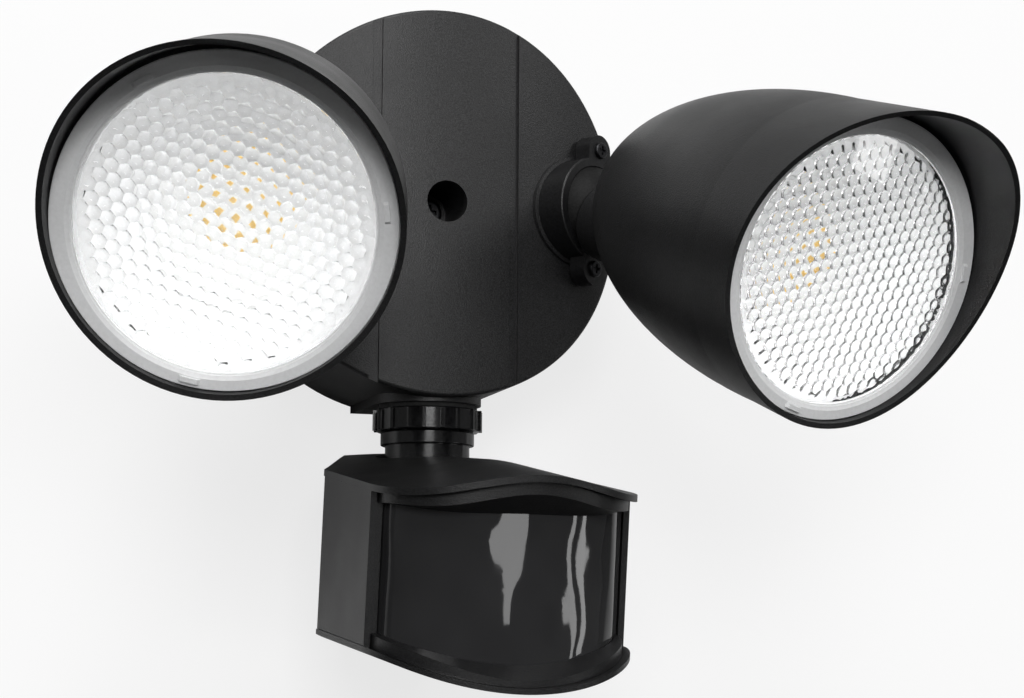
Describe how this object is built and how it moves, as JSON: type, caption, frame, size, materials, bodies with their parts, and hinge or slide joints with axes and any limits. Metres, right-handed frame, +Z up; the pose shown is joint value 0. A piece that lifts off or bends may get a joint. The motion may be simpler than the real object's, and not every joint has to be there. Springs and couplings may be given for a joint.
{
  "type": "motion sensor security light",
  "caption": "Wall-mounted security light with a round canopy, swivelling hooded lamp heads on ball joints and a motion sensor on a locking neck.",
  "frame": {"origin": "centre of the canopy's back in the wall plane, on the axis of the crossbar bracket", "axes": "+Z up, +X to the right seen from the front, the light faces -Y and the wall is at y = 0"},
  "size_m": [0.2761, 0.2042, 0.2204],
  "materials": {
    "black_plastic": "black with a fine moulded grain",
    "dark_plastic": "matte",
    "sealing_rubber": "matte",
    "zinc_steel": "zinc plated",
    "heat_sink_aluminium": "cast",
    "board": "white solder mask",
    "led_phosphor": "yellow phosphor",
    "reflector_white": "white, semi gloss",
    "clear_lens": "clear, patterned",
    "frosted_ring": "frosted",
    "sensor_window": "dark, glossy",
    "cell_body": "clear amber"
  },
  "bodies": {
    "canopy": {"canopy_housing": "black_plastic", "screw_tube": "black_plastic", "wall_gasket": "sealing_rubber", "back_cover": "dark_plastic", "back_cover_screws": "zinc_steel", "crossbar_bracket": "zinc_steel", "mounting_screw": "zinc_steel", "driver_case": "dark_plastic", "driver_lid": "dark_plastic", "terminal_block": "dark_plastic", "neck_washer": "sealing_rubber", "socket_base_left": "black_plastic", "socket_base_right": "black_plastic", "clamp_ring_left": "black_plastic", "clamp_ring_right": "black_plastic", "clamp_screws_left": "zinc_steel", "clamp_screws_right": "zinc_steel"},
    "seat_left": {"ball_seat_left": "dark_plastic"},
    "seat_right": {"ball_seat_right": "dark_plastic"},
    "neck": {"sensor_neck": "black_plastic", "neck_retainer": "dark_plastic"},
    "nut": {"swivel_nut": "black_plastic"},
    "sensor": {"sensor_housing": "black_plastic", "sensor_bezel": "black_plastic", "sensor_window": "sensor_window", "sensor_top_cover": "black_plastic", "sensor_bottom_cover": "black_plastic", "sensor_seat": "dark_plastic", "sensor_board": "board", "infrared_detector": "zinc_steel", "daylight_cell": "cell_body", "sensor_screws": "zinc_steel"},
    "time_knob": {"time_dial": "dark_plastic"},
    "light_knob": {"light_dial": "dark_plastic"},
    "head_left": {"head_shell_left": "black_plastic", "ball_stem_left": "black_plastic", "stem_nut_left": "zinc_steel", "heat_sink_left": "heat_sink_aluminium", "heat_sink_screws_left": "zinc_steel", "led_board_left": "board", "led_chips_left": "led_phosphor", "reflector_left": "reflector_white", "lens_left": "clear_lens", "lens_ring_left": "frosted_ring", "lens_gasket_left": "sealing_rubber"},
    "head_right": {"head_shell_right": "black_plastic", "ball_stem_right": "black_plastic", "stem_nut_right": "zinc_steel", "heat_sink_right": "heat_sink_aluminium", "heat_sink_screws_right": "zinc_steel", "led_board_right": "board", "led_chips_right": "led_phosphor", "reflector_right": "reflector_white", "lens_right": "clear_lens", "lens_ring_right": "frosted_ring", "lens_gasket_right": "sealing_rubber"}
  },
  "joints": [
    {"name": "swivel_left", "type": "hinge", "parent": "canopy", "child": "seat_left", "pos_m": [-0.0501, -0.047, 0.0011], "axis": [-0.4695, -0.8829, 0], "range_deg": [-160, 160]},
    {"name": "tilt_left", "type": "hinge", "parent": "seat_left", "child": "head_left", "pos_m": [-0.0501, -0.047, 0.0011], "axis": [-0.8829, 0.4695, 0], "range_deg": [-3, 42]},
    {"name": "swivel_right", "type": "hinge", "parent": "canopy", "child": "seat_right", "pos_m": [0.0501, -0.047, 0.0011], "axis": [0.4695, -0.8829, 0], "range_deg": [-160, 160]},
    {"name": "tilt_right", "type": "hinge", "parent": "seat_right", "child": "head_right", "pos_m": [0.0501, -0.047, 0.0011], "axis": [-0.8829, -0.4695, 0], "range_deg": [-3, 42]},
    {"name": "sensor_pan", "type": "hinge", "parent": "canopy", "child": "neck", "pos_m": [0, -0.0332, -0.076], "axis": [0, 0, 1], "range_deg": [-60, 60]},
    {"name": "lock_nut_turn", "type": "hinge", "parent": "neck", "child": "nut", "pos_m": [0, -0.0332, -0.07], "axis": [0, 0, 1], "range_deg": [-24, 24]},
    {"name": "sensor_tilt", "type": "hinge", "parent": "neck", "child": "sensor", "pos_m": [0, -0.0332, -0.088], "axis": [0.9974, 0.0715, 0], "range_deg": [-13, 3]},
    {"name": "time_knob_turn", "type": "hinge", "parent": "sensor", "child": "time_knob", "pos_m": [-0.01327, -0.05789, -0.14695], "axis": [0.0078, -0.1095, 0.994], "range_deg": [-135, 135]},
    {"name": "light_knob_turn", "type": "hinge", "parent": "sensor", "child": "light_knob", "pos_m": [0.01665, -0.05574, -0.14695], "axis": [0.0078, -0.1095, 0.994], "range_deg": [-135, 135]}
  ]
}
